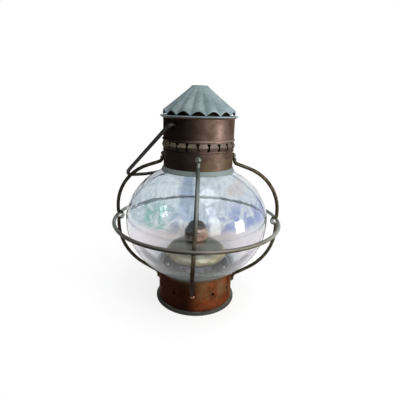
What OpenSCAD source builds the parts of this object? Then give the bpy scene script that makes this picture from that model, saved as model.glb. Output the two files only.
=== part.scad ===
// Ship's oil lantern with a blown onion globe, a wire cage and a lift-out lamp.
// Millimetres, +Z up, origin at the middle of the foot.

/* [Base] */
// Radius of the foot ring where the lantern stands
foot_r = 57.5; // [55:0.5:62]
// Outer radius of the copper base collar
base_r = 53.3; // [52:0.1:54]
// Height of the top edge of the base collar
base_top_z = 51.2; // [50:0.1:51.2]
// Height of the air holes
air_hole_z = 27.4; // [22:0.2:32]
// Diameter of an air hole
air_hole_d = 4.2; // [2:0.1:5]
// Thickness of the sheet metal
sheet = 1; // [0.8:0.05:1.2]

/* [Globe] */
// Largest outer radius of the globe
globe_r = 97.7; // [95:0.1:99]
// Height of the widest part of the globe
globe_z = 121.6; // [118:0.2:124]
// How far the globe's upper curve would rise if its neck were closed
globe_rise = 78; // [77:0.5:80]
// How far the globe's lower curve would fall if its neck were closed
globe_drop = 84.8; // [84:0.2:86]
// Thickness of the glass
glass = 3; // [2:0.25:4]

/* [Chimney] */
// Outer radius of the chimney above the globe
chimney_r = 46.4; // [46:0.1:46.6]
// Height of the lower edge of the collar over the globe
collar_z = 191.6; // [191.5:0.1:193]
// Height of the joint under the vent band
vent_z = 218.4; // [217:0.2:220]
// Height of the joint over the vent band
drum_z = 229.2; // [228:0.2:231]
// Height of the flange that the cap stands on
flange_z = 260.7; // [259:0.1:262]
// Number of slots in the vent band
vent_count = 22; // [16:1:26]
// How far the folded vent straps stand out
vent_bulge = 1.8; // [1:0.1:2.5]

/* [Cap] */
// Number of flutes in the cap
flute_count = 16; // [12:1:18]
// Half the height of a flute at the rim
flute_rise = 2.6; // [1.5:0.05:3.2]
// Radius of the cap at its scalloped rim
cap_r = 46.8; // [44:0.1:48]
// Height of the top of the lantern
top_z = 296.8; // [290:0.2:305]
// Radius of the flat disc on top
disc_r = 11; // [8:0.5:14]

/* [Wire cage] */
// Diameter of the cage and handle wire
wire_d = 4.8; // [4.2:0.1:5]
// Radius of the horizontal ring
ring_r = 113.3; // [112.6:0.1:114]
// Height of the horizontal ring
ring_z = 120.7; // [119:0.1:122]
// Distance from the axis to the upright part of a guard
guard_r = 111.8; // [111:0.1:112.4]
// Height of the upper guard rivets
upper_rivet_z = 210.2; // [208:0.2:212]
// How far round the front guard's lower end stands, in degrees
front_low = -0.3; // [-3:0.1:3]
// How far round the front guard's upper end stands, in degrees
front_high = 3.1; // [-3:0.1:4]
// How far round the back guard stands, in degrees
back_turn = 2; // [-3:0.1:3]

/* [Handle] */
// Height of the handle pivots
pivot_z = 250.3; // [248:0.1:252]
// Direction of the nearer pivot, clockwise from the front guard
pivot_turn = 37.4; // [35:0.1:40]
// Length of the handle from its pivots to the top of the bow
bail_len = 122; // [118:1:126]
// How far below level the handle lies at rest
bail_tilt = 41.4; // [0:0.2:41.4]

/* [Lamp] */
// Largest radius of the oil font
font_r = 43.5; // [40:0.5:44]
// Height of the seam round the font
font_z = 70; // [69:0.2:71]
// Radius of the burner cone at its foot
burner_r = 17.2; // [16:0.2:18]
// Width of the wick
wick_w = 15; // [12:0.5:16]

/* [Hidden] */
$fn = 96;
eps = 0.01;
base_in = base_r - sheet;
neck_low_r = base_in - 0.9;
neck_top_r = chimney_r - 1.6;
seat_z = 42.2;
packing = 1.8;
neck_low_z = seat_z + packing;
neck_top_z = 198;
chimney_in = chimney_r - sheet;
collar_r = chimney_r - 0.2;
collar_in = collar_r - sheet;
foot_z = 3.6;
lower_rivet_z = air_hole_z;
rivet_d = 3;
eye_t = 1.8;
guard_low = [0, back_turn, 0, front_low];
guard_high = [0, back_turn, 0, front_high];
ring_plane_z = 8.8;
plate_z = 7;
vent_turn = 1.9;
cap_turn = 1.3;
lug_count = 3;
lug_turn = 28;
stand_foot_r = 36;
stand_r = 19;
font_floor_z = 56.6;
burner_top_z = 115.4;
shaft_z = 96.6;
shaft_d = 2;
wheel_r = 3.5;
wick_t = 2.4;
raiser_x = wick_t / 2 + wheel_r + 0.3;
knob_y = 29;
cone_z = 100;
wick_low_z = 64;
wick_top_z = 105.5;

// Ring with a square section
module band(r_out, r_in, z0, z1) {
    translate([0, 0, z0]) difference() {
        cylinder(r = r_out, h = z1 - z0);
        translate([0, 0, -eps]) cylinder(r = r_in, h = z1 - z0 + 2 * eps);
    }
}

// Half-round bead standing out from a tube of radius r
module bead(r, z, bead_r) {
    rotate_extrude() intersection() {
        translate([r, z]) circle(r = bead_r, $fn = 32);
        translate([r - 0.5, z - bead_r]) square([bead_r + 0.5, 2 * bead_r]);
    }
}

// Unit vector from a to b
function toward(a, b) = (b - a) / norm(b - a);

// Where a fillet of radius r meets its corner: distance from the corner
function fillet_run(a, p, b, r) =
    r / tan(acos(toward(p, a) * toward(p, b)) / 2);

// Centre of that fillet
function fillet_centre(a, p, b, r) =
    let (ua = toward(p, a), ub = toward(p, b), half = acos(ua * ub) / 2)
    p + (ua + ub) / norm(ua + ub) * r / sin(half);

// Angle from vector a to vector b, anticlockwise positive
function turn_between(a, b) = atan2(a.x * b.y - a.y * b.x, a * b);

// Points and headings along a line through pts, with each inner corner rounded by its radius
function bent_path(pts, radii) =
    let (last = len(pts) - 1)
    concat(
        [[pts[0], toward(pts[0], pts[1])]],
        [for (i = [1:last - 1])
            let (
                into = toward(pts[i - 1], pts[i]),
                out = toward(pts[i], pts[i + 1]),
                r = radii[i - 1],
                c = fillet_centre(pts[i - 1], pts[i], pts[i + 1], r),
                from = pts[i] - into * fillet_run(pts[i - 1], pts[i], pts[i + 1], r) - c,
                turn = turn_between(into, out),
                steps = max(2, ceil(abs(turn) / (r > 20 ? 7 : 15)))
            )
            for (k = [0:steps])
                let (a = turn * k / steps)
                [c + turned(from, a), turned(into, a)]],
        [[pts[last], toward(pts[last - 1], pts[last])]]
    );

function turned(v, a) = [v.x * cos(a) - v.y * sin(a), v.x * sin(a) + v.y * cos(a)];

// Round wire bent in the XZ plane along pts, with one bend radius for each inner point; turn gives the
// angles that its ends at the lower and the upper rivets stand round the axis
module bent_wire(pts, radii, d, turn = [0, 0]) {
    sides = 12;
    path = bent_path(pts, radii);
    rings = len(path);
    points = [
        for (step = path) for (j = [0:sides - 1])
            let (
                a = 360 * j / sides,
                aside = d / 2 * cos(a) * [step[1].y, -step[1].x],
                up = (step[0].y - lower_rivet_z) / (upper_rivet_z - lower_rivet_z),
                place = turned([step[0].x + aside.x, d / 2 * sin(a)], turn[0] + (turn[1] - turn[0]) * up)
            )
            [place.x, place.y, step[0].y + aside.y],
    ];
    skin = [for (i = [0:rings - 2]) for (j = [0:sides - 1]) each [
        [i * sides + j, (i + 1) * sides + j, (i + 1) * sides + (j + 1) % sides],
        [i * sides + j, (i + 1) * sides + (j + 1) % sides, i * sides + (j + 1) % sides],
    ]];
    ends = [
        [for (j = [0:sides - 1]) j],
        [for (j = [sides - 1:-1:0]) (rings - 1) * sides + j],
    ];
    polyhedron(points, concat(skin, ends));
}

// Base

// Flared foot ring that carries the lantern
module base_rim() color([0.3, 0.32, 0.28])
    rotate_extrude() polygon([
        [base_r, 0], [foot_r, 0], [foot_r, 1], [base_r + 1.6, foot_z - 0.6], [base_r, foot_z],
    ]);

// Copper tube with a lip turned out under the glass, air holes and the holes of the lower guard rivets
module base_collar() color([0.55, 0.28, 0.16]) difference() {
    rotate_extrude() polygon([
        [base_in, 0.6], [base_r, 0.6], [base_r, base_top_z - 2.6], [base_r + 2, base_top_z - 0.9],
        [base_r + 2.1, base_top_z - 0.3], [base_r + 1.7, base_top_z], [base_r, base_top_z - 1],
        [base_in, base_top_z - 1.6],
    ]);
    for (side = [0:3], turn = [-30, 30]) rotate([0, 0, 90 * side + turn])
        radial_hole(base_r, air_hole_z, air_hole_d);
    for (side = [0:3]) rotate([0, 0, 90 * side + guard_low[side]])
        radial_hole(base_r, lower_rivet_z, rivet_d);
}

// Hole drilled towards the axis through a tube of radius r, at the right
module radial_hole(r, z, d) {
    translate([r - 6, 0, z]) rotate([0, 90, 0]) cylinder(d = d, h = 9, $fn = 32);
}

// Inner ring with notches, which holds the lugs of the lamp's base plate
module bayonet_ring() color([0.5, 0.36, 0.2]) difference() {
    union() {
        band(base_in, 48.4, ring_plane_z, ring_plane_z + 1.5);
        band(base_in, base_in - sheet, ring_plane_z, ring_plane_z + 6);
    }
    for (i = [0:lug_count - 1]) rotate([0, 0, 360 / lug_count * i + 60 + lug_turn])
        translate([44, -7, ring_plane_z - 1]) cube([7, 14, 4]);
}

// Turned-up ring that the glass stands in
module lower_globe_seat() color([0.42, 0.4, 0.32])
    rotate_extrude() polygon([
        [45.3, seat_z - 1.2], [base_in, seat_z - 1.2], [base_in, seat_z],
        [46.3, seat_z], [46.3, seat_z + 4.6], [45.3, seat_z + 4.6],
    ]);

module lower_packing_ring() color([0.35, 0.33, 0.3])
    band(base_in - 0.3, 47.4, seat_z, neck_low_z);

// Globe

// Points of the globe's wall from the lower neck to the upper neck, shrink inside the outer curve
function globe_wall(shrink) =
    let (
        low = acos((neck_low_r - shrink) / (globe_r - shrink)),
        top = acos((neck_top_r - shrink) / (globe_r - shrink)),
        steps = 30
    )
    [for (i = [0:steps])
        let (a = -low + (low + top) * i / steps, rise = a > 0 ? globe_rise : globe_drop)
        [(globe_r - shrink) * cos(a), globe_z + (rise - shrink) * sin(a)]];

// Blown globe with its two ground necks
module globe() color([0.8, 0.88, 0.9, 0.35]) {
    inner = globe_wall(glass);
    rotate_extrude() polygon(concat(
        [[neck_low_r - glass, neck_low_z], [neck_low_r, neck_low_z]],
        globe_wall(0),
        [[neck_top_r, neck_top_z], [neck_top_r - glass, neck_top_z]],
        [for (i = [len(inner) - 1:-1:0]) inner[i]]
    ));
}

module upper_packing_ring() color([0.35, 0.33, 0.3])
    band(collar_in - 0.1, neck_top_r - glass, neck_top_z, neck_top_z + packing);

// Chimney

// Narrow skirt with a rolled edge that caps the shoulder of the globe
module upper_gallery_ring() color([0.45, 0.52, 0.48])
    rotate_extrude() polygon([
        [collar_r, 194.2], [47.9, 190.9], [48.1, 189.9], [48.7, 189.5], [49.1, 189.9], [49, 190.9],
        [48.5, 191.6], [48.3, 192.4], [collar_r + 0.8, 195.2], [collar_r, 195.5],
    ]);

// Tube between the globe and the vents, with a ledge over the packing ring
module chimney_collar() color([0.4, 0.26, 0.2]) difference() {
    union() {
        band(collar_r, collar_in, collar_z, vent_z);
        band(collar_r - eps, 42.4, neck_top_z + packing, neck_top_z + packing + sheet);
        bead(collar_r, vent_z - 1, 0.8);
    }
    for (side = [0:3]) rotate([0, 0, 90 * side + guard_high[side]])
        radial_hole(collar_r, upper_rivet_z, rivet_d);
}

// Outline of one vent slot, wide at its ends and narrow at the fold
module vent_slot_outline() {
    fold_z = vent_fold_z();
    low = vent_z + 1.2;
    high = drum_z - 0.4;
    polygon([
        [-2.2, low], [2.2, low], [2.2, low + 1], [1.2, low + 2.4], [1.2, fold_z - 0.6],
        [1.2, high - 3], [2.2, high - 1.4], [2.2, high],
        [-2.2, high], [-2.2, high - 1.4], [-1.2, high - 3],
        [-1.2, fold_z - 0.6], [-1.2, low + 2.4], [-2.2, low + 1],
    ]);
}

// Height of the fold in the vent straps
function vent_fold_z() = vent_z + 0.53 * (drum_z - vent_z);

// Slotted band whose straps are folded outwards
module vent_band() color([0.42, 0.29, 0.22]) difference() {
    rotate_extrude() {
        fold_z = vent_fold_z();
        low = vent_z + 0.9;
        high = drum_z - 0.6;
        polygon([
            [chimney_r, vent_z], [chimney_r, low], [chimney_r + vent_bulge, fold_z],
            [chimney_r, high], [chimney_r, drum_z], [chimney_in, drum_z], [chimney_in, high],
            [chimney_in + vent_bulge, fold_z], [chimney_in, low], [chimney_in, vent_z],
        ]);
    }
    for (i = [0:vent_count - 1]) rotate([0, 0, 360 / vent_count * i + vent_turn])
        rotate([90, 0, 0]) translate([0, 0, 41]) linear_extrude(height = 11) vent_slot_outline();
}

// Upper drum with its rolled bead and the two pivot holes of the handle
module chimney_drum() color([0.35, 0.23, 0.18]) difference() {
    union() {
        band(chimney_r, chimney_in, drum_z, flange_z - sheet);
        bead(chimney_r, drum_z + 2, 1.4);
    }
    for (end = [-90, 90]) rotate([0, 0, end - pivot_turn])
        radial_hole(chimney_r, pivot_z, wire_d + 1.6);
}

// Flared flange soldered round the top of the drum
module drum_flange() color([0.5, 0.54, 0.5])
    rotate_extrude() polygon([
        [41, flange_z - sheet], [chimney_r, flange_z - sheet], [chimney_r, flange_z - 3.6],
        [chimney_r + 0.8, flange_z - 3.2], [50.3, flange_z - 1], [50.3, flange_z], [41, flange_z],
    ]);

// Cap

cap_steps = 7;
flute_samples = 10;
cap_sheet = 1.35 * sheet;
cap_top_r = disc_r - 0.3;
cap_top_z = top_z - 0.8;
cap_rim_z = flange_z + cap_sheet + flute_rise;

// Shape of a flute across its width: broad rounded crest, narrower valley
function flute(a) = 2 * pow(abs(cos(flute_count * a / 2)), 0.95) - 1;

// Point on the fluted sheet's upper face at angle a, at the fraction s of the way down
function cap_point(a, s) =
    let (
        r = cap_top_r + (cap_r - cap_top_r) * s,
        z = cap_top_z + (cap_rim_z - cap_top_z) * s + flute_rise * flute(a) * pow(s, 1.2)
    )
    [r * sin(a), -r * cos(a), z];

// Fluted cone pressed from one sheet and trimmed upright round its rim, so its edge is scalloped
module fluted_cap() {
    count = flute_count * flute_samples;
    rows = cap_steps + 1;
    pts = [
        for (under = [0, cap_sheet]) for (k = [0:cap_steps]) for (j = [0:count - 1])
            cap_point(360 * j / count, k / cap_steps) - [0, 0, under],
    ];
    function at(side, k, j) = (side * rows + k) * count + j % count;
    faces = concat(
        [for (k = [0:cap_steps - 1]) for (j = [0:count - 1]) each [
            [at(0, k, j), at(0, k + 1, j + 1), at(0, k + 1, j)],
            [at(0, k, j), at(0, k, j + 1), at(0, k + 1, j + 1)],
            [at(1, k, j), at(1, k + 1, j), at(1, k + 1, j + 1)],
            [at(1, k, j), at(1, k + 1, j + 1), at(1, k, j + 1)],
        ]],
        [for (j = [0:count - 1]) each [
            [at(0, 0, j), at(1, 0, j), at(1, 0, j + 1)],
            [at(0, 0, j), at(1, 0, j + 1), at(0, 0, j + 1)],
            [at(0, cap_steps, j), at(1, cap_steps, j + 1), at(1, cap_steps, j)],
            [at(0, cap_steps, j), at(0, cap_steps, j + 1), at(1, cap_steps, j + 1)],
        ]]
    );
    color([0.5, 0.58, 0.58]) rotate([0, 0, cap_turn]) polyhedron(pts, faces);
}

// Inner cone soldered on the flange, which screens the flutes' open arches from draughts
module cap_baffle() color([0.2, 0.15, 0.12])
    rotate_extrude() polygon([
        [42.2, flange_z], [36.2, flange_z + 7.2], [35.2, flange_z + 7.2], [41.2, flange_z],
    ]);

// Small flat lid soldered over the point of the cone
module cap_disc() color([0.5, 0.57, 0.57])
    rotate_extrude() polygon([
        [0, cap_top_z], [disc_r, cap_top_z], [disc_r - 0.5, top_z], [0, top_z],
    ]);

// Wire cage

// Guard wire in the XZ plane: down the collar, over the shoulder, round the kink, to the base
module guard_wire(turn) {
    r = wire_d / 2;
    wall_gap = 0.15;
    upper_x = collar_r + r + wall_gap;
    lower_x = base_r + r + wall_gap;
    shoulder = 0.34;
    heel = 0.58;
    upper_bend_z = 200.4;
    lower_bend_z = 34;
    lip = 4.6;
    throat = 2.9;
    kink = 6.2;
    bent_wire(
        [
            [upper_x, upper_rivet_z - 3.4],
            [upper_x, upper_bend_z],
            [guard_r, upper_bend_z - shoulder * (guard_r - upper_x)],
            [guard_r, ring_z + lip],
            [guard_r - kink, ring_z + throat],
            [guard_r - kink, ring_z - throat],
            [guard_r, ring_z - lip],
            [guard_r, lower_bend_z + heel * (guard_r - lower_x)],
            [lower_x, lower_bend_z],
            [lower_x, lower_rivet_z + 3.2],
        ],
        [5.5, 64, 3.4, 3.7, 3.7, 3.4, 70, 4],
        wire_d,
        turn
    );
}

// Flattened eye at a guard's end, bored for its rivet
module guard_eye(r, z) {
    translate([r, 0, z]) rotate([0, 90, 0]) difference() {
        cylinder(r = 3.9, h = eye_t, $fn = 48);
        translate([0, 0, -1]) cylinder(d = rivet_d, h = eye_t + 2, $fn = 32);
    }
}

// One of the four guards, counted anticlockwise from the right-hand side
module guard(side) color([0.3, 0.29, 0.24]) rotate([0, 0, 90 * side]) {
    guard_wire([guard_low[side], guard_high[side]]);
    rotate([0, 0, guard_high[side]]) guard_eye(collar_r, upper_rivet_z);
    rotate([0, 0, guard_low[side]]) guard_eye(base_r, lower_rivet_z);
}

module guard_right() guard(0);
module guard_back() guard(1);
module guard_left() guard(2);
module guard_front() guard(3);

// Closed ring that lies in the kinks of the four guards
module guard_ring() color([0.36, 0.34, 0.29]) rotate_extrude()
    translate([ring_r, ring_z]) circle(d = wire_d, $fn = 32);

// Round-headed rivet whose head stands on the eye, for a wall of radius r
module guard_rivet(r, z) {
    head_r = 3.3;
    tail_t = 0.8;
    tail_gap = 0.15;
    translate([r - sheet, 0, z]) rotate([0, 90, 0]) {
        translate([0, 0, -tail_gap]) cylinder(d = rivet_d, h = sheet + eye_t + tail_gap, $fn = 32);
        translate([0, 0, -tail_gap - tail_t]) cylinder(r = 2.6, h = tail_t, $fn = 32);
        translate([0, 0, sheet + eye_t]) intersection() {
            translate([0, 0, -0.9]) sphere(r = head_r, $fn = 48);
            cylinder(r = head_r, h = head_r, $fn = 48);
        }
    }
}

module upper_guard_rivets() color([0.32, 0.33, 0.28])
    for (side = [0:3]) rotate([0, 0, 90 * side + guard_high[side]])
        guard_rivet(collar_r, upper_rivet_z);

module lower_guard_rivets() color([0.32, 0.3, 0.25])
    for (side = [0:3]) rotate([0, 0, 90 * side + guard_low[side]])
        guard_rivet(base_r, lower_rivet_z);

// Handle

// Bow of wire whose ends turn in through the drum; it lies back on the left guard at rest
module bail_handle() color([0.16, 0.15, 0.14])
    translate([0, 0, pivot_z]) rotate([0, 0, -90 - pivot_turn]) rotate([90 + bail_tilt, 0, 0]) {
        hip = 54;
        shoulder_x = 60.5;
        shoulder_t = bail_len - 14;
        bent_wire(
            [
                [42, 0], [hip, 0], [shoulder_x, shoulder_t], [0, bail_len],
                [-shoulder_x, shoulder_t], [-hip, 0], [-42, 0],
            ],
            [6, 17, 150, 17, 6],
            wire_d
        );
    }

// Lamp

// Bottom plate of the lamp with three lugs that turn in over the bayonet ring
module font_base_plate() color([0.6, 0.48, 0.26]) {
    difference() {
        translate([0, 0, plate_z]) cylinder(r = 51.4, h = 1.4);
        for (i = [0:5]) rotate([0, 0, 60 * i + 30]) translate([39, 0, plate_z - 1])
            cylinder(r = 4, h = 4, $fn = 32);
    }
    for (i = [0:lug_count - 1]) rotate([0, 0, 360 / lug_count * i + 60]) intersection() {
        union() {
            band(48.1, 46.9, plate_z + 1.4 - eps, ring_plane_z + 3.2);
            band(51, 46.9, ring_plane_z + 1.9, ring_plane_z + 3.2);
        }
        translate([40, -5, plate_z]) cube([14, 10, 8]);
    }
}

// Pierced cone that lifts the font off the base plate and lets air through
module font_stand() color([0.58, 0.46, 0.26]) difference() {
    rotate_extrude() polygon([
        [stand_foot_r - sheet, plate_z + 1.4], [stand_foot_r, plate_z + 1.4],
        [stand_r, font_floor_z], [stand_r - sheet, font_floor_z],
    ]);
    for (row = [0:2]) for (i = [0:7]) rotate([0, 0, 45 * i + 22.5 * row])
        translate([27 - 4.6 * row, 0, 18 + 13 * row]) rotate([0, 90, 0])
            cylinder(d = 9 - row, h = 11, $fn = 32);
}

// Oil tank below its rolled seam, open at the top
module font_bowl() {
    wall = 1.2;
    floor_r = 21;
    side_z = 69;
    steps = 12;
    function curve(r, z0) = [for (i = [0:steps])
        let (a = 90 * i / steps)
        [floor_r - 1 + (r - floor_r + 1) * sin(a), side_z - (side_z - z0) * cos(a)]];
    inside = curve(font_r - wall, font_floor_z + wall);
    color([0.68, 0.62, 0.42]) {
        rotate_extrude() polygon(concat(
            [[0, font_floor_z]], curve(font_r, font_floor_z),
            [[font_r, font_z], [font_r - wall, font_z]],
            [for (i = [steps:-1:0]) inside[i]],
            [[0, font_floor_z + wall]]
        ));
        bead(font_r, font_z - 1.3, 0.8);
    }
}

// Domed lid of the tank with a hole for the burner
module font_top() {
    wall = 1.2;
    hole_r = 13;
    rise = 20.5;
    steps = 12;
    function dome(r, rise) = [for (i = [0:steps])
        let (a = 72 * i / steps) [r * cos(a), font_z + rise * pow(sin(a), 1.5)]];
    outer = dome(font_r, rise);
    inner = dome(font_r - wall, rise - wall);
    color([0.5, 0.52, 0.42]) difference() {
        rotate_extrude() polygon(concat(
            outer,
            [[10, outer[steps].y], [10, inner[steps].y]],
            [for (i = [steps:-1:0]) inner[i]]
        ));
        translate([0, 0, font_z]) cylinder(r = hole_r, h = 30);
    }
}

// Screwed brass ring in the lid that takes the burner
module font_collar() color([0.66, 0.52, 0.3])
    rotate_extrude() polygon([
        [11.4, 82], [13, 82], [13, 89.02], [15.6, 89.02], [15.6, 90.4], [11.4, 90.4],
    ]);

// Burner body: shell that carries the wick tube and the raiser's shaft
module burner_body() color([0.66, 0.5, 0.36]) difference() {
    rotate_extrude() polygon([
        [0, 90.4], [14.4, 90.4], [burner_r, 91.6], [burner_r, 93.2],
        [burner_r - 0.9, 93.8], [burner_r - 0.9, 95.5], [burner_r - 0.2, 96.2],
        [burner_r - 0.9, 96.9], [burner_r - 0.9, cone_z], [burner_r - 1.9, cone_z],
        [burner_r - 1.9, 92.4], [0, 92.4],
    ]);
    translate([-wick_t, -wick_w / 2 - 1.2, 90]) cube([2 * wick_t, wick_w + 2.4, 3]);
    translate([raiser_x, 0, shaft_z]) rotate([-90, 0, 0])
        cylinder(d = shaft_d + 0.15, h = 30, $fn = 32);
}

// Slotted cone over the wick, spun with a ridge round its foot
module burner_cone() {
    foot = burner_r - 0.9;
    ridge_z = cone_z + 2.8;
    spring_z = ridge_z + 0.7;
    steps = 12;
    function spun(r, top) = [for (i = [0:steps])
        let (u = 1 - pow(1 - i / steps, 3))
        [r * pow(1 - pow(u, 0.8), 0.25), spring_z + (top - spring_z) * u]];
    outer = spun(foot - 0.9, burner_top_z);
    inner = spun(foot - 1.8, burner_top_z - 1);
    color([0.62, 0.46, 0.36]) difference() {
        rotate_extrude() polygon(concat(
            [[foot, cone_z], [foot, ridge_z - 0.7], [foot + 0.2, ridge_z]],
            outer,
            [for (i = [steps:-1:0]) inner[i]],
            [[foot - 1, cone_z]]
        ));
        translate([-2.8, -wick_w / 2 - 1.5, 104]) cube([5.6, wick_w + 3, 14]);
    }
}

// Flat tube that guides the wick down into the font, cut open beside the raiser wheels
module wick_tube() color([0.6, 0.5, 0.32]) difference() {
    translate([-wick_t, -wick_w / 2 - 1.2, 80]) cube([2 * wick_t, wick_w + 2.4, 22]);
    translate([-wick_t + 0.8, -wick_w / 2 - 0.4, 79]) cube([2 * wick_t - 1.6, wick_w + 0.8, 24]);
    translate([0, -wick_w / 2, shaft_z - wheel_r - 0.6])
        cube([4, wick_w, 2 * wheel_r + 1.2]);
}

// Spindle of the wick raiser, beside the wick and out through the back of the burner
module wick_shaft() color([0.6, 0.5, 0.32])
    translate([raiser_x, -wick_w / 2 - 2, shaft_z]) rotate([-90, 0, 0])
        cylinder(d = shaft_d, h = knob_y + wick_w / 2 + 2, $fn = 32);

module wick_wheels() color([0.6, 0.5, 0.32])
    for (y = [-4.5, 4.5]) translate([raiser_x, y - 0.8, shaft_z]) rotate([-90, 0, 0])
        difference() {
            cylinder(r = wheel_r, h = 1.6, $fn = 32);
            translate([0, 0, -1]) cylinder(d = shaft_d, h = 4, $fn = 32);
        }

// Knob on the end of the spindle
module wick_knob() color([0.64, 0.52, 0.3])
    translate([raiser_x, knob_y, shaft_z]) rotate([-90, 0, 0]) cylinder(r = 7, h = 2.4);

module wick() color([0.8, 0.76, 0.66])
    translate([-wick_t / 2, -wick_w / 2, wick_low_z]) cube([wick_t, wick_w, wick_top_z - wick_low_z]);

base_rim();
base_collar();
bayonet_ring();
lower_globe_seat();
lower_packing_ring();
globe();
upper_packing_ring();
upper_gallery_ring();
chimney_collar();
vent_band();
chimney_drum();
drum_flange();
cap_baffle();
fluted_cap();
cap_disc();
guard_front();
guard_right();
guard_back();
guard_left();
guard_ring();
upper_guard_rivets();
lower_guard_rivets();
bail_handle();
font_base_plate();
font_stand();
font_bowl();
font_top();
font_collar();
burner_body();
burner_cone();
wick_tube();
wick_shaft();
wick_wheels();
wick_knob();
wick();
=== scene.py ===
"""Looks of the ship's oil lantern: a copper base and chimney, a glass globe in a wire cage and a brass lamp inside."""

import math

import bmesh
import bpy
from mathutils import Matrix, Vector


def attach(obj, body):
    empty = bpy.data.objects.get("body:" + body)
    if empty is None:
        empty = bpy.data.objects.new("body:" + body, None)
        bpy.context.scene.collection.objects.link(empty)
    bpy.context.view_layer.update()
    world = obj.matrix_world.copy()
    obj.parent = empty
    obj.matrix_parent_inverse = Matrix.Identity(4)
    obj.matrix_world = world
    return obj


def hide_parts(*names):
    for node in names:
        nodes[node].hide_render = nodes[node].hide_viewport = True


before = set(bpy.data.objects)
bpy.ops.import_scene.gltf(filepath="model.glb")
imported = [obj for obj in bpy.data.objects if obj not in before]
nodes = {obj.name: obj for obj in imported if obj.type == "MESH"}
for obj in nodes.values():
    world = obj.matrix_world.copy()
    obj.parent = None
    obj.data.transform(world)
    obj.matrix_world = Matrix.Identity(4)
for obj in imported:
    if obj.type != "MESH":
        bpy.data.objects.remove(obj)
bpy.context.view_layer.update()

# Camera
# It stands in front of the front guard and a little to the right, level with the cap, and looks down at the globe.
# The photograph's frame is square, and its camera leaned slightly to the right.
eye = Vector((0.01914, -0.42145, 0.27058))
ahead = Vector((-0.03436, 0.95886, -0.28179)).normalized()
lean = math.radians(1.577)
frame_width_px = 400
focal_px = 315.14
level = ahead.cross(Vector((0, 0, 1))).normalized()
upward = level.cross(ahead)
right = level * math.cos(lean) + upward * math.sin(lean)
top = upward * math.cos(lean) - level * math.sin(lean)
camera = bpy.data.objects.new("camera", bpy.data.cameras.new("camera"))
camera.data.sensor_width = 36
camera.data.lens = camera.data.sensor_width * focal_px / frame_width_px
camera.matrix_world = Matrix.Translation(eye) @ Matrix((right, top, -ahead)).transposed().to_4x4()
bpy.context.scene.collection.objects.link(camera)
bpy.context.scene.camera = camera
bpy.context.scene.view_settings.view_transform = "Standard"


# Floor and light
# A round pale floor fades into a white room. A tall window stands at the right of the camera, with a broad soft
# lamp beside it and a faint cool one overhead, and a dark curtain hangs at the left.
class Wire:
    """A shader value that adds a Math node for each sum it is used in."""

    def __init__(self, finish, socket):
        self.finish = finish
        self.socket = socket

    def sum(self, operation, *values):
        return self.finish.node("ShaderNodeMath", {"operation": operation}, values)

    def __add__(self, other):
        return self.sum("ADD", self, other)

    def __sub__(self, other):
        return self.sum("SUBTRACT", self, other)

    def __rsub__(self, other):
        return self.sum("SUBTRACT", other, self)

    def __mul__(self, other):
        return self.sum("MULTIPLY", self, other)

    def __pow__(self, other):
        return self.sum("POWER", self, other)

    __radd__ = __add__
    __rmul__ = __mul__


class Finish:
    """A material made round one Principled shader, whose plain values are set by name."""

    def __init__(self, name, **plain):
        self.material = bpy.data.materials.new(name)
        self.material.use_nodes = True
        self.tree = self.material.node_tree
        self.shader = self.tree.nodes["Principled BSDF"]
        for socket, value in plain.items():
            self.shader.inputs[socket.replace("_", " ")].default_value = value

    def node(self, kind, settings=None, values=(), output=0):
        made = self.tree.nodes.new(kind)
        for setting, value in (settings or {}).items():
            setattr(made, setting, value)
        for key, value in values.items() if isinstance(values, dict) else enumerate(values):
            if isinstance(value, Wire):
                self.tree.links.new(value.socket, made.inputs[key])
            else:
                made.inputs[key].default_value = value
        return Wire(self, made.outputs[output])

    def feed(self, **links):
        for socket, wire in links.items():
            self.tree.links.new(wire.socket, self.shader.inputs[socket.replace("_", " ")])

    def place(self, stretch=(1, 1, 1)):
        where = self.node("ShaderNodeTexCoord", output="Object")
        return self.node("ShaderNodeVectorMath", {"operation": "MULTIPLY"}, (where, stretch))

    def axes(self):
        """Distance along x, y and z from the middle of the foot."""
        split = self.node("ShaderNodeSeparateXYZ", {}, (self.place(),)).socket.node
        return [Wire(self, split.outputs[axis]) for axis in range(3)]

    def cloud(self, size, detail=5, rough=0.6, twist=0.0, stretch=(1, 1, 1)):
        """Noise from 0 to 1 whose patches are about size metres across."""
        values = {"Vector": self.place(stretch), "Scale": 1 / size, "Detail": detail}
        values.update({"Roughness": rough, "Distortion": twist})
        return self.node("ShaderNodeTexNoise", {}, values)

    def between(self, value, low, high):
        """0 below low, 1 above high, with a soft step between. low may be the larger, to turn it round."""
        values = {"Value": value, "From Min": low, "From Max": high}
        return self.node("ShaderNodeMapRange", {"interpolation_type": "SMOOTHSTEP"}, values)

    def colour(self, amount, under, over, how="MIX"):
        """The colour under, with over laid on it by amount."""
        settings = {"data_type": "RGBA", "blend_type": how}
        return self.node("ShaderNodeMix", settings, {0: amount, 6: under, 7: over}, output=2)

    def dents(self, height, depth, strength=1.0):
        """Bump whose full height is depth metres."""
        values = {"Height": height, "Distance": depth, "Strength": strength}
        return self.node("ShaderNodeBump", {}, values)


def paint(red, green, blue):
    """A colour written as it shows on a screen, 0 to 255, as the renderer's own."""
    parts = [part / 255 for part in (red, green, blue)]
    return (*[p / 12.92 if p < 0.04045 else ((p + 0.055) / 1.055) ** 2.4 for p in parts], 1)


floor_radius = 1.6
floor = bpy.data.objects.new("floor", bpy.data.meshes.new("floor"))
shape = bmesh.new()
bmesh.ops.create_circle(shape, cap_ends=True, segments=96, radius=floor_radius)
shape.to_mesh(floor.data)
shape.free()
bpy.context.scene.collection.objects.link(floor)

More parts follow.
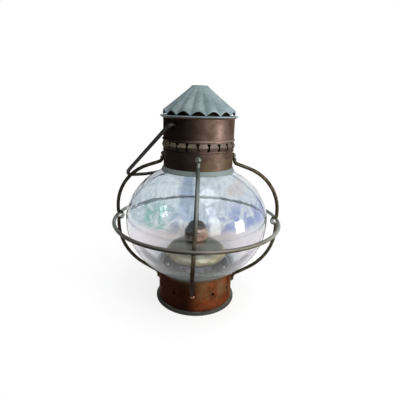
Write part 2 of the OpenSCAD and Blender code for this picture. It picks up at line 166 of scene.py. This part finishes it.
pale_floor = Finish("pale_floor", Base_Color=paint(247, 247, 246), Roughness=0.9)
pale_floor.shader.inputs["Emission Strength"].default_value = 0.3
x, y, z = pale_floor.axes()
distance = (x * x + y * y) ** 0.5
uncovered = pale_floor.between(distance, 0.044, 0.049)
fade = (pale_floor.between(distance, 0.08, 0.35) * 0.35 + 0.65) * uncovered
pale_floor.feed(Emission_Color=pale_floor.colour(uncovered, paint(0, 0, 0), paint(255, 255, 255)))
clear = pale_floor.node("ShaderNodeBsdfTransparent")
shown = pale_floor.node("ShaderNodeMixShader", {}, (fade, Wire(pale_floor, pale_floor.shader.outputs[0]), clear))
pale_floor.tree.links.new(shown.socket, pale_floor.tree.nodes["Material Output"].inputs["Surface"])
floor.data.materials.append(pale_floor.material)

room_light = 0.5
world = bpy.data.worlds.new("room")
bpy.context.scene.world = world
world.use_nodes = True
ray = world.node_tree.nodes.new("ShaderNodeLightPath")
seen = world.node_tree.nodes.new("ShaderNodeMath")
seen.operation = "MAXIMUM"
seen_through = world.node_tree.nodes.new("ShaderNodeMath")
seen_through.operation = "MAXIMUM"
level_of_light = world.node_tree.nodes.new("ShaderNodeMapRange")
level_of_light.inputs["To Min"].default_value = room_light
level_of_light.inputs["To Max"].default_value = 1
world.node_tree.links.new(ray.outputs["Is Camera Ray"], seen.inputs[0])
world.node_tree.links.new(ray.outputs["Is Glossy Ray"], seen.inputs[1])
world.node_tree.links.new(seen.outputs[0], seen_through.inputs[0])
world.node_tree.links.new(ray.outputs["Is Transmission Ray"], seen_through.inputs[1])
world.node_tree.links.new(seen_through.outputs[0], level_of_light.inputs["Value"])
world.node_tree.links.new(level_of_light.outputs[0], world.node_tree.nodes["Background"].inputs["Strength"])
world.node_tree.nodes["Background"].inputs["Color"].default_value = (1, 1, 1, 1)


def lamp(name, turn, rise, away, width, height, power, tint):
    """Soft rectangular light that faces the globe: turn is clockwise from the front, rise above level, in degrees."""
    turn, rise = math.radians(turn), math.radians(rise)
    heading = Vector((math.sin(turn) * math.cos(rise), -math.cos(turn) * math.cos(rise), math.sin(rise)))
    light = bpy.data.lights.new(name, "AREA")
    light.shape = "RECTANGLE"
    light.size, light.size_y = width, height
    light.energy = power
    light.color = tint
    holder = bpy.data.objects.new(name, light)
    holder.location = Vector((0, 0, 0.15)) + heading * away
    holder.rotation_mode = "QUATERNION"
    holder.rotation_quaternion = heading.to_track_quat("Z", "Y")
    bpy.context.scene.collection.objects.link(holder)


lamp("window", 31, 26, 1.5, 0.4, 1.6, 8, (0.96, 0.99, 1.0))
lamp("soft_lamp", 70, 4, 1.3, 0.36, 0.5, 8.5, (1.0, 0.97, 0.94))
lamp("sky", 50, 72, 1.6, 0.7, 0.7, 5, (0.9, 0.95, 1.0))

curtain_radius = 1.3
curtain_top = 1.5
curtain = bpy.data.objects.new("curtain", bpy.data.meshes.new("curtain"))
shape = bmesh.new()
folds = []
for step in range(41):
    turn = math.radians(-175 + 195 * step / 40)
    away = curtain_radius + 0.03 * math.sin(step * 1.9)
    foot_of_fold = Vector((math.sin(turn) * away, -math.cos(turn) * away, 0))
    folds.append([shape.verts.new(foot_of_fold), shape.verts.new(foot_of_fold + Vector((0, 0, curtain_top)))])
for one, other in zip(folds, folds[1:]):
    shape.faces.new((one[0], other[0], other[1], one[1]))
shape.to_mesh(curtain.data)
shape.free()
bpy.context.scene.collection.objects.link(curtain)
curtain.visible_camera = False
curtain.visible_diffuse = False
curtain.visible_transmission = False
curtain.visible_shadow = False
dark_cloth = Finish("dark_cloth", Base_Color=paint(40, 38, 40), Roughness=1)
weave = dark_cloth.cloud(0.01)
dark_cloth.feed(Normal=dark_cloth.dents(weave, 0.002))
curtain.data.materials.append(dark_cloth.material)


# Foot ring
# A strip of copper flared and soldered round the bottom of the base, gone dark grey-green and lighter in
# patches above its lowest few millimetres.
def dress(node_names, finish):
    """Gives the finish to the frame's own pieces."""
    for name in node_names:
        for slot in nodes[name].material_slots:
            slot.material = finish.material


foot = Finish("foot_patina", Metallic=0.55)
x, y, z = foot.axes()
grime = foot.cloud(0.009)
# Lighter grey-green in patches above the lowest few millimetres of the ring.
pale_rim_and_ring_shade = foot.between(z, 0.0024, 0.0032) * foot.between(foot.cloud(0.014), 0.35, 0.6)
tone = foot.colour(foot.between(grime, 0.35, 0.7), paint(54, 53, 48), paint(78, 76, 69))
tone = foot.colour(pale_rim_and_ring_shade * 0.7, tone, paint(112, 114, 104))
foot.feed(Base_Color=tone, Roughness=foot.between(grime, 0.2, 0.9) * 0.25 + 0.42)
foot.feed(Normal=foot.dents(foot.cloud(0.003), 0.0002, 0.5))
dress(["base_rim"], foot)

# Base collar
# A tube of sheet copper with air holes near its foot. Heat and polish have left it mottled orange and
# brown, with olive patches of old lacquer. Shade is painted darker to the left, light is painted brighter
# to the right, and a pale blue-grey painted highlight runs round its top face.
base = Finish("mottled_copper", Metallic=0.9, Specular_Tint=(0.5, 0.35, 0.25, 1))
x, y, z = base.axes()
mottle = base.cloud(0.022, detail=6, twist=0.6)
fleck = base.cloud(0.005, detail=6)
tone = base.colour(base.between(mottle, 0.36, 0.66), paint(78, 38, 20), paint(126, 64, 34))
tone = base.colour(base.between(fleck, 0.5, 0.74) * 0.5, tone, paint(58, 28, 16))
lacquer = base.between(base.cloud(0.03, twist=0.8), 0.42, 0.6) * base.between(z, 0.014, 0.03)
tone = base.colour(lacquer * 0.7, tone, paint(112, 84, 54))
# Painted shade: near-black towards the left.
tone = base.colour(base.between(x, 0.022, -0.012) * 0.94, tone, paint(24, 9, 5))
# Painted light: brighter towards the right.
tone = base.colour(base.between(x, 0.015, 0.035), tone, (0.97, 1.15, 1.35, 1), "MULTIPLY")
tone = base.colour(base.between(z, 0.044, 0.049) * 0.6, tone, paint(78, 68, 52))
# Painted highlight: a pale blue-grey line round the top face.
tone = base.colour(base.between(z, 0.0490, 0.0495) * 0.3, tone, paint(122, 134, 146))
base.feed(Base_Color=tone, Roughness=base.between(fleck, 0.2, 0.8) * 0.25 + 0.34)
base.feed(Normal=base.dents(mottle + fleck * 0.3, 0.0005, 0.4))
dress(["base_collar"], base)

# Bayonet ring and glass seat
# Two turned brass rings soldered inside the base: one catches the lamp's lugs and the other holds the globe's neck.
# Both are painted near-black, as painted shade inside the base.
shade_brass = Finish("aged_brass", Metallic=0.75)
# Painted shade: near-black brass inside the base.
tone = shade_brass.colour(shade_brass.between(shade_brass.cloud(0.012), 0.35, 0.7), paint(20, 20, 16), paint(40, 37, 30))
shade_brass.feed(Base_Color=tone, Roughness=shade_brass.cloud(0.006) * 0.2 + 0.6)
shade_brass.feed(Normal=shade_brass.dents(shade_brass.cloud(0.004), 0.0002, 0.4))
dress(["bayonet_ring", "lower_globe_seat"], shade_brass)

# Packing rings
# Grey felt rings under and over the necks of the glass.
felt = Finish("packing_felt", Roughness=0.95)
fibre = felt.cloud(0.0012, detail=6, stretch=(1, 1, 3))
felt.feed(Base_Color=felt.colour(fibre, paint(112, 112, 112), paint(150, 150, 150)))
felt.feed(Normal=felt.dents(fibre, 0.0004))
dress(["lower_packing_ring", "upper_packing_ring"], felt)

# Globe
# Clear glass blown in a mould, slightly wavy, with ground necks. Reflections are painted into its colour:
# cool blue-white at the shoulder with fine streaks, a slate-blue patch and a warm glint, green to the
# left and violet to the right of the middle, and a warm grey below. The ground neck is painted near-white,
# as painted light inside the base's shade.
wall = 0.003
globe_radius, widest_z = 0.0977, 0.1216
neck_low_radius, neck_low_z, fall = 0.0514, 0.044, 0.0848
neck_top_radius, neck_top_z, rise = 0.0448, 0.198, 0.078


def blown_curve(shrink, steps=64):
    """Radius and height along the glass from the lower neck to the upper, shrink metres inside its outer face."""
    low = math.acos((neck_low_radius - shrink) / (globe_radius - shrink))
    high = math.acos((neck_top_radius - shrink) / (globe_radius - shrink))
    curve = []
    for step in range(steps + 1):
        turn = -low + (low + high) * step / steps
        reach = (rise if turn > 0 else fall) - shrink
        curve.append(((globe_radius - shrink) * math.cos(turn), widest_z + reach * math.sin(turn)))
    return curve


def spun(profile, sides=128):
    """A smooth shape made by turning a closed profile of radius and height round the axis."""
    shape = bmesh.new()
    rings = []
    for radius, height in profile:
        turns = [2 * math.pi * side / sides for side in range(sides)]
        rings.append([shape.verts.new((radius * math.cos(a), radius * math.sin(a), height)) for a in turns])
    for ring, after in zip(rings, rings[1:] + rings[:1]):
        for side in range(sides):
            beside = (side + 1) % sides
            shape.faces.new((ring[side], ring[beside], after[beside], after[side])).smooth = True
    return shape


def stand_for(node, name, shape, body, finish):
    """Turns the shape into a piece that stands for one node of the frame."""
    bmesh.ops.recalc_face_normals(shape, faces=shape.faces)
    piece = bpy.data.objects.new(name, bpy.data.meshes.new(name))
    shape.to_mesh(piece.data)
    shape.free()
    bpy.context.scene.collection.objects.link(piece)
    piece.data.materials.append(finish.material)
    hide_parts(node)
    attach(piece, body)


globe = Finish("globe_glass", Transmission_Weight=1, IOR=1.46, Roughness=0.015)
x, y, z = globe.axes()
reflection_mottle = globe.cloud(0.014, detail=5, twist=0.9)
streak = globe.cloud(0.006, detail=3, stretch=(1, 1, 0.12))
in_front = globe.between(y, -0.01, -0.03)


def reflection_and_tarnish_patch(across, up, wide, tall):
    """A soft patch of painted reflection on the glass's front, centred across and up, with a ragged edge."""
    over = (x - across) * (1 / wide)
    above = (z - up) * (1 / tall)
    away = (over * over + above * above) ** 0.5 + reflection_mottle * 0.8
    return globe.between(away, 1.4, 0.8) * in_front


tide = z + y * 0.33
# Painted reflection: warm grey below, paler at the sides, and cool blue-white on the shoulder above.
below = globe.colour(globe.between(x * x, 0.001, 0.004), paint(214, 211, 210), paint(236, 234, 238))
tone = globe.colour(globe.between(tide, 0.112, 0.102), paint(230, 236, 240), below)
upper = globe.between(tide, 0.104, 0.116)
# Painted reflection: fine pale streaks on the upper glass.
tone = globe.colour(globe.between(streak, 0.5, 0.62) * upper * 0.6, tone, paint(196, 208, 218))
# Painted reflections: a slate-blue patch and a warm glint.
tone = globe.colour(reflection_and_tarnish_patch(-0.009, 0.172, 0.013, 0.026) * 0.8, tone, paint(148, 168, 192))
tone = globe.colour(reflection_and_tarnish_patch(0.05, 0.176, 0.018, 0.008) * 0.5, tone, paint(222, 200, 190))
# Painted reflections: green, blue-white and violet patches across the front.
belt = in_front * globe.between(z, 0.13, 0.14) * globe.between(z, 0.172, 0.15)
hue = globe.colour(globe.between(x, -0.07, -0.052), paint(196, 206, 214), paint(138, 188, 174))
hue = globe.colour(globe.between(x, -0.034, -0.02), hue, paint(172, 184, 204))
hue = globe.colour(globe.between(x, 0.028, 0.042), hue, paint(148, 162, 212))
tone = globe.colour(belt * globe.between(reflection_mottle, 0.4, 0.56) * 0.85, tone, hue)
tone = globe.colour(globe.between(z, 0.064, 0.054), tone, paint(200, 210, 222))
globe.feed(Base_Color=tone)
waves = globe.cloud(0.04, detail=1) + globe.cloud(0.012, detail=1) * 0.5
globe.feed(Normal=globe.dents(waves * globe.between(z, 0.075, 0.11), 0.001, 0.3))
neck = globe.between(z, 0.0545, 0.0515)
# Painted light: the ground neck is near-white to show inside the base's shade.
frost_with_painted_light = globe.colour(neck, paint(126, 133, 130), paint(240, 246, 246))
ground = globe.node("ShaderNodeBsdfPrincipled", {}, {"Base Color": frost_with_painted_light, "Roughness": 0.6})
ground_part = globe.between(z, 0.084, 0.07) * globe.between(y, 0.0, -0.02) * (1 - neck) * 0.65 + neck * 0.85
frosted = globe.node("ShaderNodeMixShader", {}, (ground_part, Wire(globe, globe.shader.outputs[0]), ground))
globe.tree.links.new(frosted.socket, globe.tree.nodes["Material Output"].inputs["Surface"])
skin = blown_curve(0) + [(neck_top_radius, neck_top_z), (neck_top_radius - wall, neck_top_z)]
skin += blown_curve(wall)[::-1] + [(neck_low_radius - wall, neck_low_z), (neck_low_radius, neck_low_z)]
stand_for("globe", "blown_globe", spun(skin), "lantern", globe)

# Gallery ring, flange and cap
# Copper sheet left to the weather: a matte grey-green skin with pale streaks that run down the flutes.
# Shade is painted dark brown under the flange, which leaves a light line along its edge, and light is
# painted brighter to the right.
weathered = Finish("verdigris", Metallic=0.25)
x, y, z = weathered.axes()
cloud = weathered.cloud(0.018, twist=0.4)
streak = weathered.cloud(0.004, stretch=(1, 1, 0.25))
tone = weathered.colour(weathered.between(cloud, 0.35, 0.65), paint(112, 130, 133), paint(136, 152, 155))
tone = weathered.colour(weathered.between(streak, 0.52, 0.75) * 0.5, tone, paint(150, 152, 148))
tone = weathered.colour(weathered.between(streak, 0.46, 0.25) * 0.5, tone, paint(78, 92, 92))
# Painted shade: dark brown under the flange.
tone = weathered.colour(weathered.between(z, 0.2596, 0.2588), tone, paint(70, 52, 42))
# Painted light: brighter towards the right.
tone = weathered.colour(weathered.between(x, 0.005, 0.03), tone, (1.15, 1.15, 1.15, 1), "MULTIPLY")
tone = weathered.colour(weathered.between(z, 0.205, 0.2), tone, paint(122, 134, 131))
weathered.feed(Base_Color=tone, Roughness=weathered.cloud(0.008) * 0.25 + 0.5)
weathered.feed(Normal=weathered.dents(streak + cloud, 0.0004, 0.5))
dress(["upper_gallery_ring", "drum_flange", "fluted_cap", "cap_disc"], weathered)

# Chimney
# Collar, slotted vent band and drum of one dark brown copper, satin, with olive patches on the collar.
# Light is painted brighter to the right and shade darker to the left, and painted highlights lie on the
# rolled bead and on the straps of the vent band above their fold.
chimney = Finish("dark_copper", Metallic=0.8, Specular_Tint=(0.6, 0.5, 0.42, 1))
x, y, z = chimney.axes()
reflection_and_tarnish_patch = chimney.cloud(0.02, twist=0.5)
fleck = chimney.cloud(0.004)
tone = chimney.colour(chimney.between(reflection_and_tarnish_patch, 0.35, 0.7), paint(70, 53, 45), paint(96, 78, 70))
olive = chimney.between(z, 0.216, 0.208) * chimney.between(reflection_and_tarnish_patch, 0.42, 0.62)
tone = chimney.colour(olive * 0.7, tone, paint(84, 72, 46))
strap = chimney.between(z, 0.2236, 0.2244) * chimney.between(z, 0.2290, 0.2284)
# Painted highlight on the upper faces of the vent straps, paler on the left.
painted_highlight = chimney.colour(chimney.between(x, -0.012, 0.002), paint(176, 162, 136), paint(108, 97, 89))
tone = chimney.colour(strap * 0.8, tone, painted_highlight)
# Painted highlight on the rolled bead at the foot of the drum.
ridge = chimney.between(z, 0.2294, 0.2302) * chimney.between(z, 0.2330, 0.2322)
tone = chimney.colour(ridge * 0.6, tone, paint(144, 122, 110))
# Painted light: brighter towards the right.
tone = chimney.colour(chimney.between(x, 0.008, 0.03), tone, (1.1, 1.16, 1.24, 1), "MULTIPLY")
# Painted shade: darker towards the left, less on the straps.
shade = chimney.between(x, 0.012, -0.022) * (1 - strap * 0.85)
tone = chimney.colour(shade * 0.92, tone, paint(17, 12, 10))
chimney.feed(Base_Color=tone, Roughness=chimney.between(fleck, 0.2, 0.8) * 0.15 + 0.36)
chimney.feed(Normal=chimney.dents(reflection_and_tarnish_patch + fleck * 0.3, 0.0003, 0.2))
dress(["chimney_collar", "vent_band", "chimney_drum", "cap_baffle"], chimney)

# Wire cage
# Four guards and a ring of thick copper wire, hung on round-headed rivets. The guards are dark olive with
# grey-green on the high spots. A painted highlight turns the upper front and back guards grey-green, and
# painted shade darkens their lower parts and the left guard. The ring is pale grey-green all round but
# for its front, partly its patina and partly painted light, with painted shade on its front-left and a
# painted highlight along its top.
wire = Finish("cage_wire", Metallic=0.8, Specular_Tint=(0.4, 0.34, 0.28, 1))
x, y, z = wire.axes()
patch = wire.cloud(0.012)
fleck = wire.cloud(0.003)
tone = wire.colour(wire.between(patch, 0.38, 0.66), paint(58, 52, 40), paint(88, 82, 66))
tone = wire.colour(wire.between(fleck, 0.58, 0.75) * 0.4, tone, paint(114, 114, 102))
facing = wire.between(x, 0.045, 0.025) * wire.between(x, -0.045, -0.025)
# Painted highlight: grey-green on the upper parts of the front and back guards.
tone = wire.colour(facing * wire.between(z, 0.135, 0.175) * 0.85, tone, paint(116, 124, 122))
# Painted shade: dark brown on their lower parts.
tone = wire.colour(facing * wire.between(z, 0.114, 0.095) * 0.95, tone, paint(32, 19, 11))
at_ring = wire.between(z, 0.1172, 0.118) * wire.between(z, 0.1242, 0.1234)
# Painted shade: darker on the left guard.
tone = wire.colour(wire.between(x, -0.06, -0.1) * (1 - at_ring) * 0.6, tone, paint(40, 32, 28))
# The ring's pale grey-green, partly patina and partly painted light.
tone = wire.colour(at_ring * wire.between(y, -0.09, -0.05) * 0.85, tone, paint(186, 197, 191))
# Painted shade on the front-left of the ring.
pale_rim_and_ring_shade = wire.between(x, -0.08, -0.05) * wire.between(x, 0.014, -0.004) * wire.between(y, 0, -0.05)
tone = wire.colour(at_ring * pale_rim_and_ring_shade * 0.8, tone, paint(28, 26, 21))
# Painted highlight along the top of the ring.
crest = wire.between(z, 0.1205, 0.1225) * wire.between(z, 0.125, 0.123)
tone = wire.colour(crest * 0.5, tone, paint(150, 148, 142))
wire.feed(Base_Color=tone, Roughness=wire.between(fleck, 0.2, 0.8) * 0.2 + 0.38)
wire.feed(Normal=wire.dents(fleck, 0.0002, 0.5))
guards = ["guard_front", "guard_right", "guard_back", "guard_left"]
dress([*guards, "guard_ring"], wire)

rivet = Finish("rivets_with_painted_highlight", Metallic=0.75)
x, y, z = rivet.axes()
fleck = rivet.cloud(0.0018)
# Lower rivets: their copper in front and back, lifted by painted highlight, and dark at the sides.
tone = rivet.colour(rivet.between(x * x, 0.0005, 0.002), paint(126, 82, 62), paint(52, 44, 36))
tone = rivet.colour(rivet.between(z, 0.1, 0.2), tone, paint(112, 116, 106))
rivet.feed(Base_Color=rivet.colour(rivet.between(fleck, 0.4, 0.7) * 0.6, tone, paint(70, 58, 46)))
rivet.feed(Roughness=rivet.between(fleck, 0.2, 0.8) * 0.2 + 0.3, Normal=rivet.dents(fleck, 0.0002, 0.5))
dress(["upper_guard_rivets", "lower_guard_rivets"], rivet)

# Handle
# A bow of the same wire, blackened, whose ends turn in through two holes of the drum.
bow = Finish("blackened_wire", Metallic=0.5)
fleck = bow.cloud(0.004)
tone = bow.colour(bow.between(fleck, 0.4, 0.75), paint(26, 23, 22), paint(58, 54, 48))
bow.feed(Base_Color=tone, Roughness=fleck * 0.3 + 0.3)
bow.feed(Normal=bow.dents(fleck, 0.0002, 0.5))
dress(["bail_handle"], bow)

# Stand
# A pierced cone of tinned sheet on a plate with bayonet lugs. Under the font it is painted a light cool
# grey-white, as painted light inside the globe's shade, and further down it is painted black, as
# painted shade inside the base.
stand_light_and_shade = Finish("tin_with_painted_light_and_shade", Metallic=0.2)
x, y, z = stand_light_and_shade.axes()
cloud = stand_light_and_shade.cloud(0.01)
# Painted light: light cool grey-white under the font.
tone = stand_light_and_shade.colour(stand_light_and_shade.between(cloud, 0.35, 0.7), paint(200, 214, 240), paint(232, 240, 255))
# Painted shade: black further down.
tone = stand_light_and_shade.colour(stand_light_and_shade.between(z, 0.046, 0.038), tone, paint(24, 21, 18))
stand_light_and_shade.feed(Base_Color=tone, Roughness=cloud * 0.2 + 0.3, Normal=stand_light_and_shade.dents(cloud, 0.0002, 0.3))
dress(["font_base_plate", "font_stand"], stand_light_and_shade)

# Font
# The oil tank: a spun brass bowl and domed lid with a rolled seam, rubbed to copper round the burner.
# Painted reflection makes it cream-olive in front and grey-green above. A painted highlight lies on the
# front of the bowl, painted shade lies under the bowl, at the left and on the left of the copper round the
# burner, and light is painted brighter to the right.
font = Finish("dull_brass", Metallic=0.5)
x, y, z = font.axes()
cloud = font.cloud(0.016, twist=0.4)
fleck = font.cloud(0.003)
tone = font.colour(font.between(cloud, 0.35, 0.7), paint(176, 168, 126), paint(204, 198, 156))
# Painted highlight on the front of the bowl.
painted_highlight = font.between(z, 0.0712, 0.0726) * font.between(z, 0.0758, 0.074) * font.between(x * x, 0.0006, 0.0001)
tone = font.colour(painted_highlight * 0.6, tone, paint(236, 238, 216))
# Painted reflection: grey-green above, cream-olive below.
tone = font.colour(font.between(z, 0.074, 0.079), tone, paint(118, 122, 110))
# Painted shade under the bowl.
tone = font.colour(font.between(z, 0.066, 0.06) * 0.9, tone, paint(40, 36, 30))
tone = font.colour(font.between(fleck, 0.55, 0.75) * 0.4, tone, paint(104, 94, 68))
# Painted light: brighter towards the right.
tone = font.colour(font.between(x, -0.004, 0.02), tone, (1.42, 1.42, 1.38, 1), "MULTIPLY")
# Copper round the burner, with painted shade on its left half.
bare_copper_and_shade = font.colour(font.between(x, -0.003, 0.003), paint(70, 64, 56), paint(196, 170, 146))
tone = font.colour(font.between(z, 0.0842, 0.0868) * font.between(x * x, 0.00022, 0.00008) * 0.8, tone, bare_copper_and_shade)
# Painted shade: darker at the left edge.
tone = font.colour(font.between(x, -0.024, -0.042) * 0.5, tone, paint(60, 58, 44))
font.feed(Base_Color=tone, Roughness=fleck * 0.2 + 0.24)
font.feed(Normal=font.dents(cloud + fleck * 0.3, 0.0004, 0.3))
dress(["font_bowl", "font_top", "font_collar"], font)

# Burner
# Thin copper pressings round a flat wick tube: copper-pink to the right, painted shade dark to the left,
# and dark on top.
burner = Finish("burner_copper", Metallic=0.65)
x, y, z = burner.axes()
cloud = burner.cloud(0.007, twist=0.4)
tone = burner.colour(burner.between(cloud, 0.35, 0.7), paint(214, 176, 150), paint(240, 208, 184))
# Painted shade: dark on the left.
tone = burner.colour(burner.between(x, 0.003, -0.004) * 0.9, tone, paint(40, 40, 36))
tone = burner.colour(burner.between(z, 0.104, 0.110) * 0.85, tone, paint(48, 46, 50))
ridges = burner.node("ShaderNodeTexWave", {"bands_direction": "Z"}, {"Vector": burner.place(), "Scale": 90})
burner.feed(Base_Color=tone, Roughness=cloud * 0.2 + 0.26)
burner.feed(Normal=burner.dents(ridges + cloud * 0.4, 0.0004, 0.5))
dress(["burner_body", "burner_cone", "wick_tube"], burner)

# Wick raiser
# A brass spindle through the burner's back with two toothed wheels that press on the wick, and a pressed knob with a
# milled edge and a boss.
raiser = Finish("raiser_brass", Metallic=0.6)
fleck = raiser.cloud(0.003)
tone = raiser.colour(raiser.between(fleck, 0.35, 0.7), paint(190, 162, 122), paint(230, 204, 162))
raiser.feed(Base_Color=tone, Roughness=fleck * 0.2 + 0.26, Normal=raiser.dents(fleck, 0.0001, 0.4))
dress(["wick_shaft"], raiser)
spindle_x, spindle_z = 0.005, 0.0966
wheel_radius, wheel_half, wheels_at = 0.0035, 0.0008, (-0.0045, 0.0045)
knob_radius, knob_back, knob_face = 0.007, 0.029, 0.0314


def toothed(shape, teeth, rings):
    """Adds a closed disc on the spindle. Each ring gives its place along the spindle, its radius and its tooth depth."""
    made = []
    for along, radius, depth in rings:
        ring = []
        for step in range(96):
            turn = 2 * math.pi * step / 96
            reach = radius - depth * (step * teeth // 48 % 2)
            place = (spindle_x + reach * math.cos(turn), along, spindle_z + reach * math.sin(turn))
            ring.append(shape.verts.new(place))
        made.append(ring)
    for ring, after in zip(made, made[1:]):
        for side in range(96):
            beside = (side + 1) % 96
            shape.faces.new((ring[side], after[side], after[beside], ring[beside]))
    shape.faces.new(made[0])
    shape.faces.new(made[-1][::-1])


wheels = bmesh.new()
for middle in wheels_at:
    low, high = middle - wheel_half, middle + wheel_half
    rim, side = (wheel_radius, 0.0009), (wheel_radius - 0.0005, 0.0006)
    toothed(wheels, 12, [(low, *side), (low + 0.0002, *rim), (high - 0.0002, *rim), (high, *side)])
stand_for("wick_wheels", "toothed_wheels", wheels, "raiser", raiser)

knob = bmesh.new()
milled, eased = (knob_radius, 0.0005), (knob_radius - 0.0004, 0.0004)
rings = [(knob_back, 0.0055, 0), (knob_back, *eased), (knob_back + 0.0003, *milled), (knob_face - 0.0003, *milled)]
rings += [(knob_face, *eased), (knob_face, 0.0052, 0), (knob_face - 0.0004, 0.0046, 0)]
rings += [(knob_face - 0.0004, 0.0025, 0), (knob_face + 0.0003, 0.0022, 0), (knob_face + 0.0005, 0.0014, 0)]
toothed(knob, 24, rings)
stand_for("wick_knob", "milled_knob", knob, "raiser", raiser)

# Wick
# A flat strip woven from thick cotton threads, charred at its top edge.
cotton = Finish("wick_cotton", Roughness=0.9)
x, y, z = cotton.axes()
weave = cotton.cloud(0.0011, detail=3, stretch=(1, 2, 1))
tone = cotton.colour(weave, paint(176, 164, 136), paint(214, 204, 180))
tone = cotton.colour(cotton.between(z, 0.1025, 0.1045), tone, paint(34, 30, 28))
cotton.feed(Base_Color=tone, Normal=cotton.dents(weave, 0.0003))
half_thick, half_wide, wick_foot, wick_head = 0.00108, 0.00738, 0.064, 0.1055
threads = 80
strip = bmesh.new()
rows = []
for row in range(threads + 1):
    height = wick_foot + (wick_head - wick_foot) * row / threads
    loop = []
    for step in range(60):
        turn = 2 * math.pi * step / 60
        over = math.copysign(abs(math.cos(turn)) ** 0.3, math.cos(turn))
        across = math.copysign(abs(math.sin(turn)) ** 0.9, math.sin(turn))
        proud = 0.0001 if (row + step) % 2 else 0
        loop.append(strip.verts.new(((half_thick + proud) * over, (half_wide + proud) * across, height)))
    rows.append(loop)
for loop, above in zip(rows, rows[1:]):
    for step in range(60):
        beside = (step + 1) % 60
        strip.faces.new((loop[step], loop[beside], above[beside], above[step]))
strip.faces.new(rows[0])
strip.faces.new(rows[-1][::-1])
stand_for("wick", "woven_wick", strip, "wick_strip", cotton)
